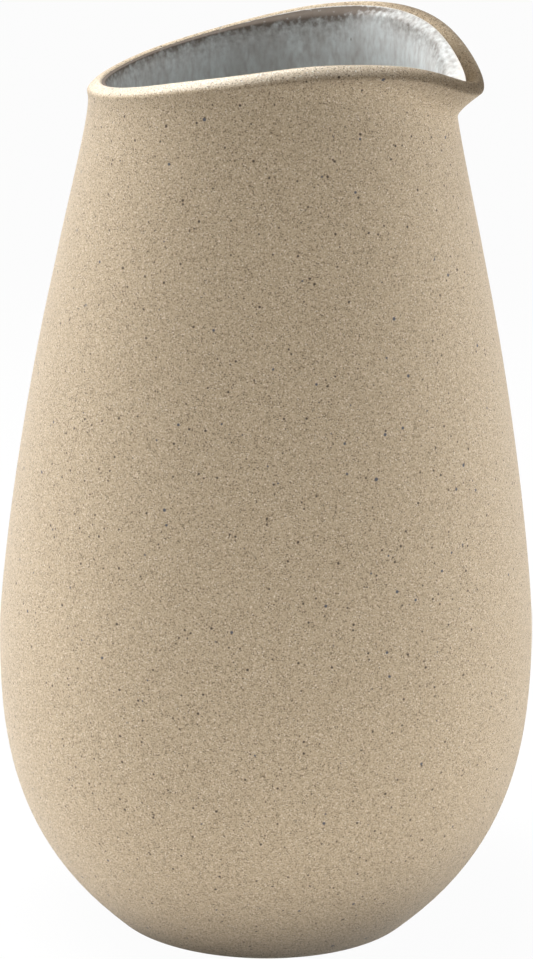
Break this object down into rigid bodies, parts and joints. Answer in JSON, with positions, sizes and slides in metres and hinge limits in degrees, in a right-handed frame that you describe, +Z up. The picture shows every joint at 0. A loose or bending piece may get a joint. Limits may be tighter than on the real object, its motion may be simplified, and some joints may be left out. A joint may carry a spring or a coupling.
{
  "type": "sauce pourer",
  "caption": "Handleless stoneware sauce pourer with a full belly, a tapered neck, a sloping rim with one pulled spout, bare clay outside and a pale glaze inside.",
  "frame": {"origin": "middle of the foot, on the surface that the pourer stands on", "axes": "+Z up along the axis that the pot is turned on, +X towards the spout"},
  "size_m": [0.086, 0.086, 0.1471],
  "materials": {
    "bare_stoneware": "matte unglazed sand-coloured clay with fine light and dark grains",
    "inside_glaze": "satin grey-white glaze with a faint blue-green tint, brown where it thins at the rim"
  },
  "bodies": {
    "root": {"stoneware_body": "bare_stoneware", "interior_glaze": "inside_glaze"}
  },
  "joints": []
}
